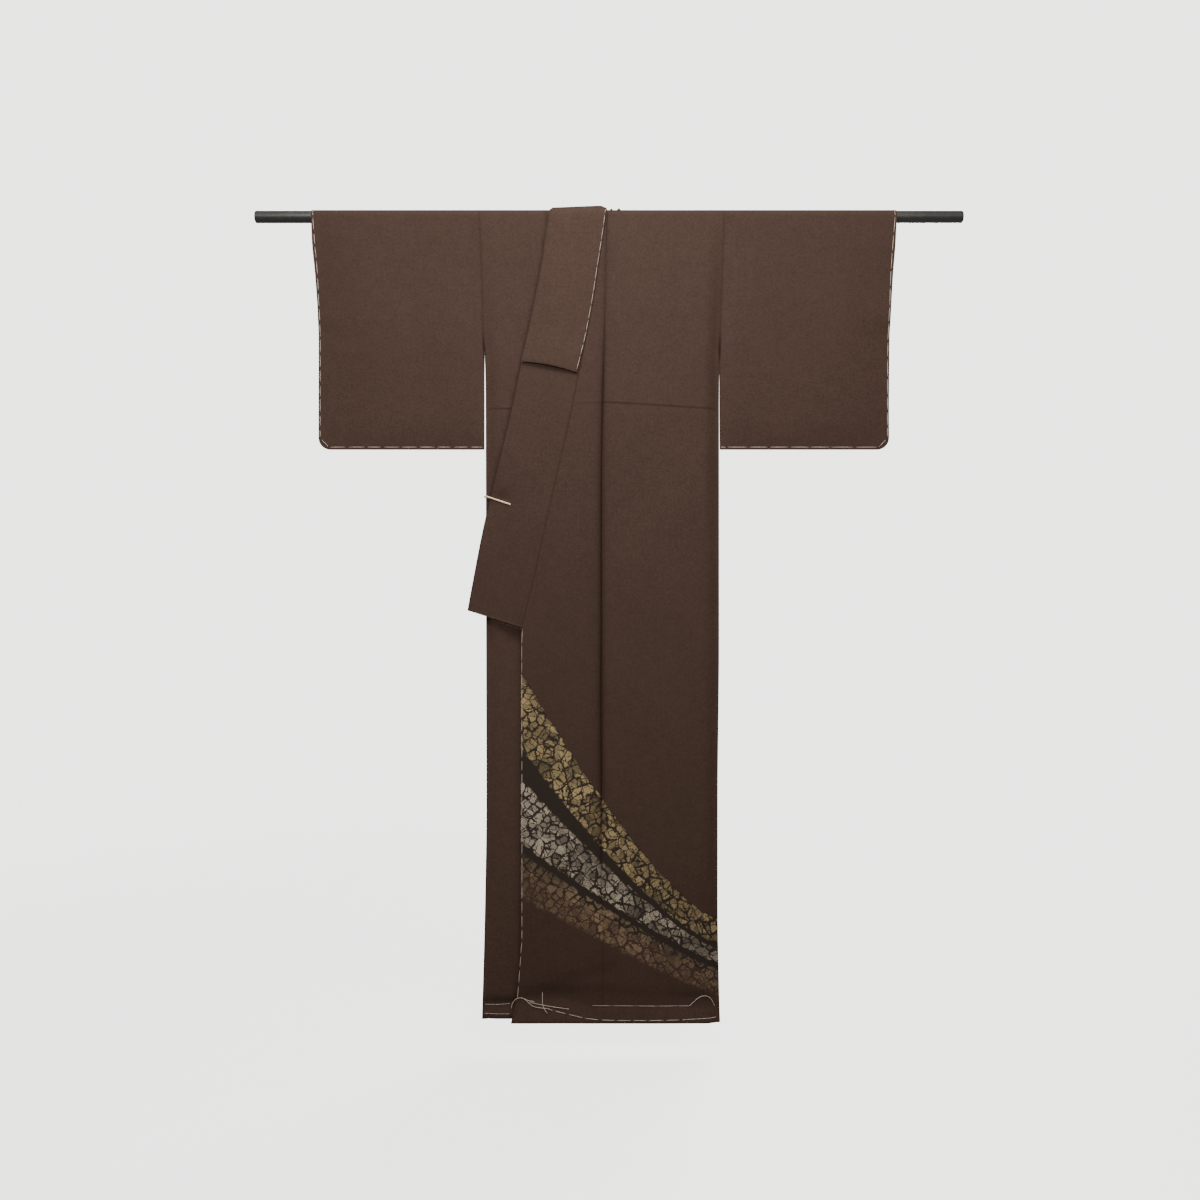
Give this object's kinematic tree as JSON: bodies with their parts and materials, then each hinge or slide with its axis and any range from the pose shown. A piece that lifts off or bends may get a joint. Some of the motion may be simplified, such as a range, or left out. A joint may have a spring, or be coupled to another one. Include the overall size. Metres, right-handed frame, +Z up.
{
  "type": "silk kimono on a hanging rod",
  "caption": "Full-length formal silk kimono hung flat by its sleeves on a plain round rod, left front folded over right, with a patterned skirt.",
  "frame": {"origin": "middle of the rod's axis, where the rod is held and the garment hangs", "axes": "+Z up, +X along the rod towards the wearer's left, -Y out of the garment's front"},
  "size_m": [1.414, 0.0422, 1.6295],
  "materials": {
    "silk": "matt brown silk crepe with a fine cross grain; woven metallic bands on the skirt",
    "thread": "off-white cotton basting thread",
    "lacquer": "near-black lacquer on wood, semi-gloss",
    "bamboo": "pale bamboo, smooth"
  },
  "bodies": {
    "root": {"rod": "lacquer", "front_left": "silk", "front_right": "silk", "back_left": "silk", "back_right": "silk", "sleeve_left": "silk", "sleeve_right": "silk", "overlap_left": "silk", "overlap_right": "silk", "collar_left": "silk", "collar_right": "silk", "collar_back": "silk", "over_collar": "silk", "fold_clip": "bamboo"}
  },
  "joints": []
}
